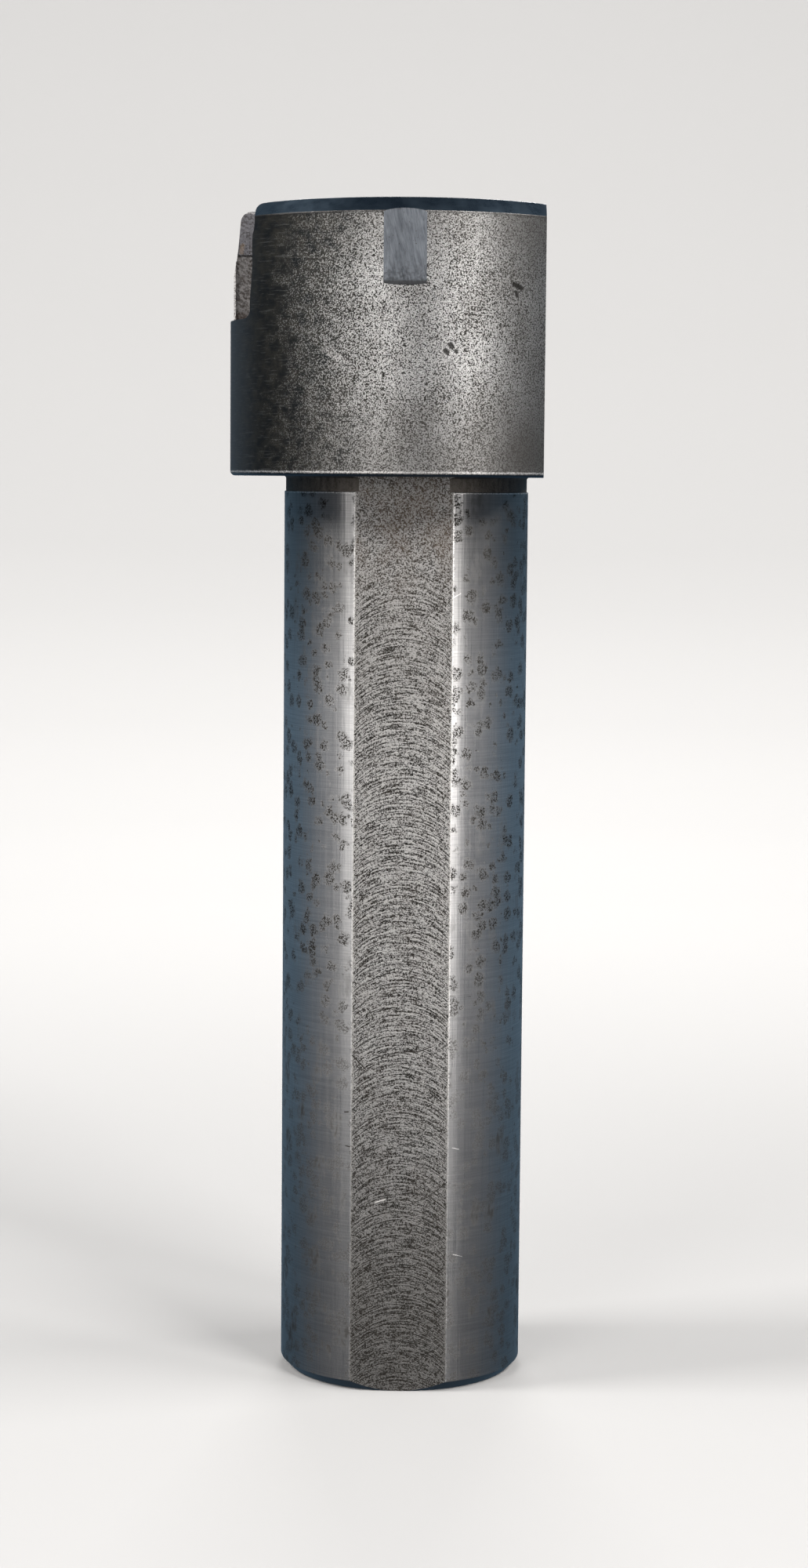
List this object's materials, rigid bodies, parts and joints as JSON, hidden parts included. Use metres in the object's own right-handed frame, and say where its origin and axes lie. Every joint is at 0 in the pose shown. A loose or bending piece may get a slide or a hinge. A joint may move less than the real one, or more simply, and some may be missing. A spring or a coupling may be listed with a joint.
{
  "type": "boring bar",
  "caption": "Solid steel boring bar with a round shank, a full-length clamping flat and a larger round head that carries a brazed cutting tip in a chip pocket.",
  "frame": {"origin": "centre of the shank's end face, on which the bar stands", "axes": "+Z along the bar's axis, from the shank end up to the front face of the head; the clamping flat and the tip's rake face look to -Y, and the tip lies at -X"},
  "size_m": [0.0509, 0.0578, 0.1915],
  "materials": {
    "bar_steel": "ground shank with dark corrosion spots, rough milled flat, pitted grey head",
    "tip_carbide": "dull grey carbide, flaked, with brown heat and braze stains"
  },
  "bodies": {
    "root": {"bar_body": "bar_steel", "carbide_tip": "tip_carbide"}
  },
  "joints": []
}
